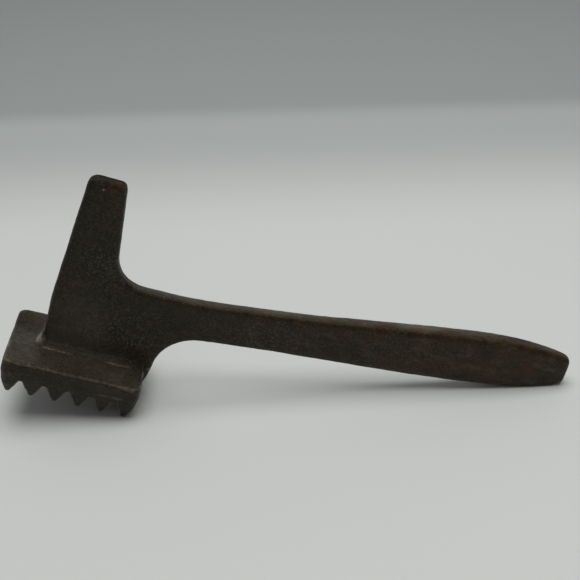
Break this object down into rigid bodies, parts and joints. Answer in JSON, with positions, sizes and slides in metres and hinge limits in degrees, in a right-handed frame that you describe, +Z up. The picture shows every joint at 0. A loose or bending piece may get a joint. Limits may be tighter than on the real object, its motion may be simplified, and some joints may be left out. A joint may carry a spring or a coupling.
{
  "type": "meat tenderizer",
  "caption": "Heavy cast-iron meat tenderizer: a rectangular plate of pyramid teeth under an upright blade, with a long flat paddle handle, lying tilted on its teeth and handle.",
  "frame": {"origin": "on the table, under the middle of the tool's bounding box", "axes": "+X from the toothed head along the handle, +Y across the tool, +Z up off the table that the tool lies on"},
  "size_m": [0.2508, 0.0418, 0.1077],
  "materials": {
    "handle_iron": "dark brown-black pitted iron, browner towards the end of the handle",
    "head_iron": "dark brown pitted iron, worn brighter on the rims and the tooth edges",
    "bead_metal": "dull grey-brown bead, brighter where it stands proud"
  },
  "bodies": {
    "root": {"handle_and_blade": "handle_iron", "toothed_head": "head_iron", "foot_bead": "bead_metal"}
  },
  "joints": []
}
